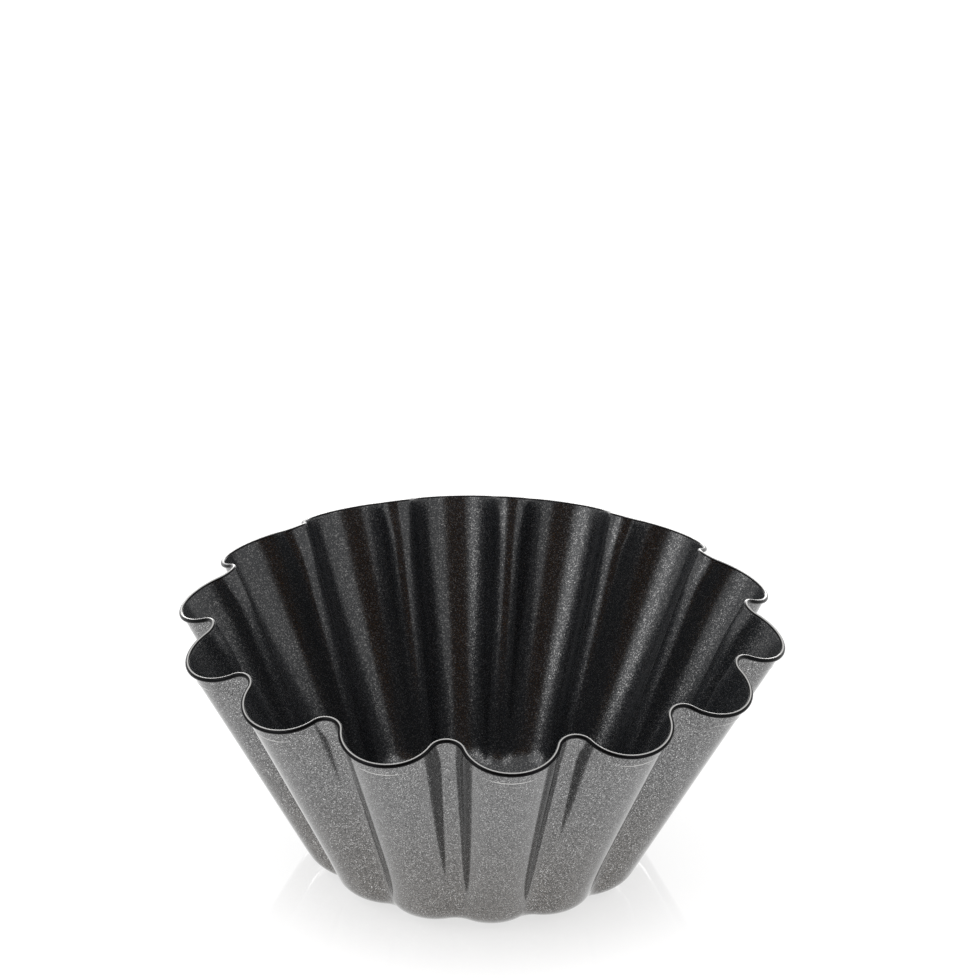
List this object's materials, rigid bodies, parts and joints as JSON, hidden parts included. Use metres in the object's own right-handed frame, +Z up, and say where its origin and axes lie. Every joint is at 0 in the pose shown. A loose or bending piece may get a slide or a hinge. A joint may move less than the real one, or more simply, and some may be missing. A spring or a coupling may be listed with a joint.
{
  "type": "brioche mould",
  "caption": "Flared, fluted baking mould for brioche: one drawn steel sheet with a flat base and a wavy rolled rim, coated inside and outside.",
  "frame": {"origin": "centre of the underside of the base, on the surface that the mould stands on", "axes": "+Z up along the mould's axis, towards the open mouth; +X through the crest of one flute"},
  "size_m": [0.2018, 0.1978, 0.0897],
  "materials": {
    "drawn_steel": "drawn sheet steel, coated all over, only its rolled bead is seen",
    "nonstick_coating": "satin black non-stick coating with fine mica flake",
    "metallic_coating": "satin mid-grey coating with fine metallic flake"
  },
  "bodies": {
    "root": {"steel_shell": "drawn_steel", "inside_nonstick_coating": "nonstick_coating", "outside_coating": "metallic_coating"}
  },
  "joints": []
}
